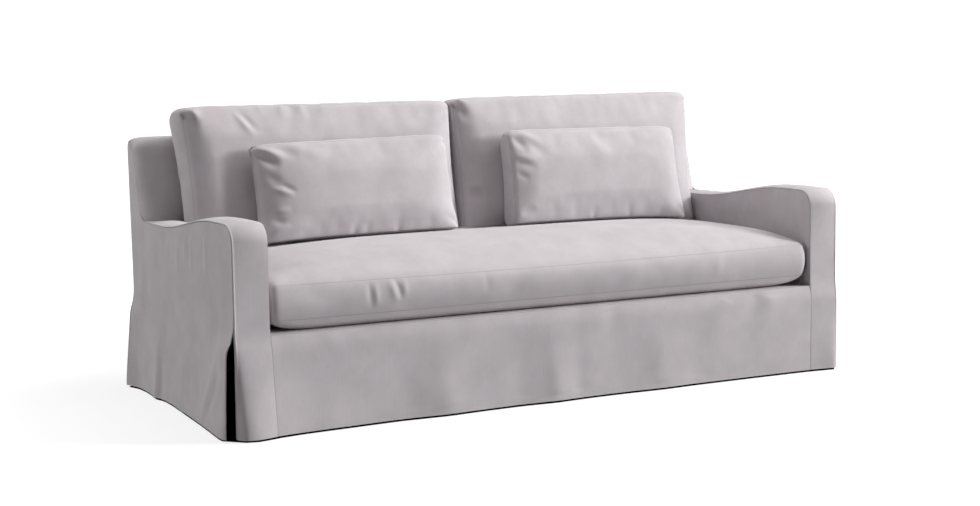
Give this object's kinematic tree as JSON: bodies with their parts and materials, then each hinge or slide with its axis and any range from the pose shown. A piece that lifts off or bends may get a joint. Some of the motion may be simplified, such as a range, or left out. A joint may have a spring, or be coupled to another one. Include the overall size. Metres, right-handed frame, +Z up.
{
  "type": "sofa slipcover with seat and back cushions",
  "caption": "Fitted three-seat sofa cover in plain grey brushed cotton, with a skirt to the floor, a crowned bench cushion, boxed back cushions and loose lumbar pillows",
  "frame": {"origin": "on the floor, below the middle of the cover's box", "axes": "X to the right as one faces the sofa's front, Y to the rear, Z up"},
  "size_m": [2.276, 1.0967, 0.95],
  "materials": {
    "outside_arm_left": "brushed cotton, matt",
    "outside_arm_right": "brushed cotton, matt",
    "arm_band_left": "brushed cotton, matt",
    "arm_band_right": "brushed cotton, matt",
    "inside_arm_left": "brushed cotton, matt",
    "inside_arm_right": "brushed cotton, matt",
    "inside_back": "brushed cotton, matt",
    "outside_back": "brushed cotton, matt",
    "front_panel": "brushed cotton, matt",
    "deck": "brushed cotton, matt",
    "seat_cushion": "brushed cotton, matt",
    "back_cushion_left": "brushed cotton, matt",
    "back_cushion_right": "brushed cotton, matt",
    "lumbar_pillow_left": "brushed cotton, matt",
    "lumbar_pillow_right": "brushed cotton, matt"
  },
  "bodies": {
    "root": {"outside_arm_left": "outside_arm_left", "outside_arm_right": "outside_arm_right", "arm_band_left": "arm_band_left", "arm_band_right": "arm_band_right", "inside_arm_left": "inside_arm_left", "inside_arm_right": "inside_arm_right", "inside_back": "inside_back", "outside_back": "outside_back", "front_panel": "front_panel", "deck": "deck", "seat_cushion": "seat_cushion", "back_cushion_left": "back_cushion_left", "back_cushion_right": "back_cushion_right", "lumbar_pillow_left": "lumbar_pillow_left", "lumbar_pillow_right": "lumbar_pillow_right"}
  },
  "joints": []
}
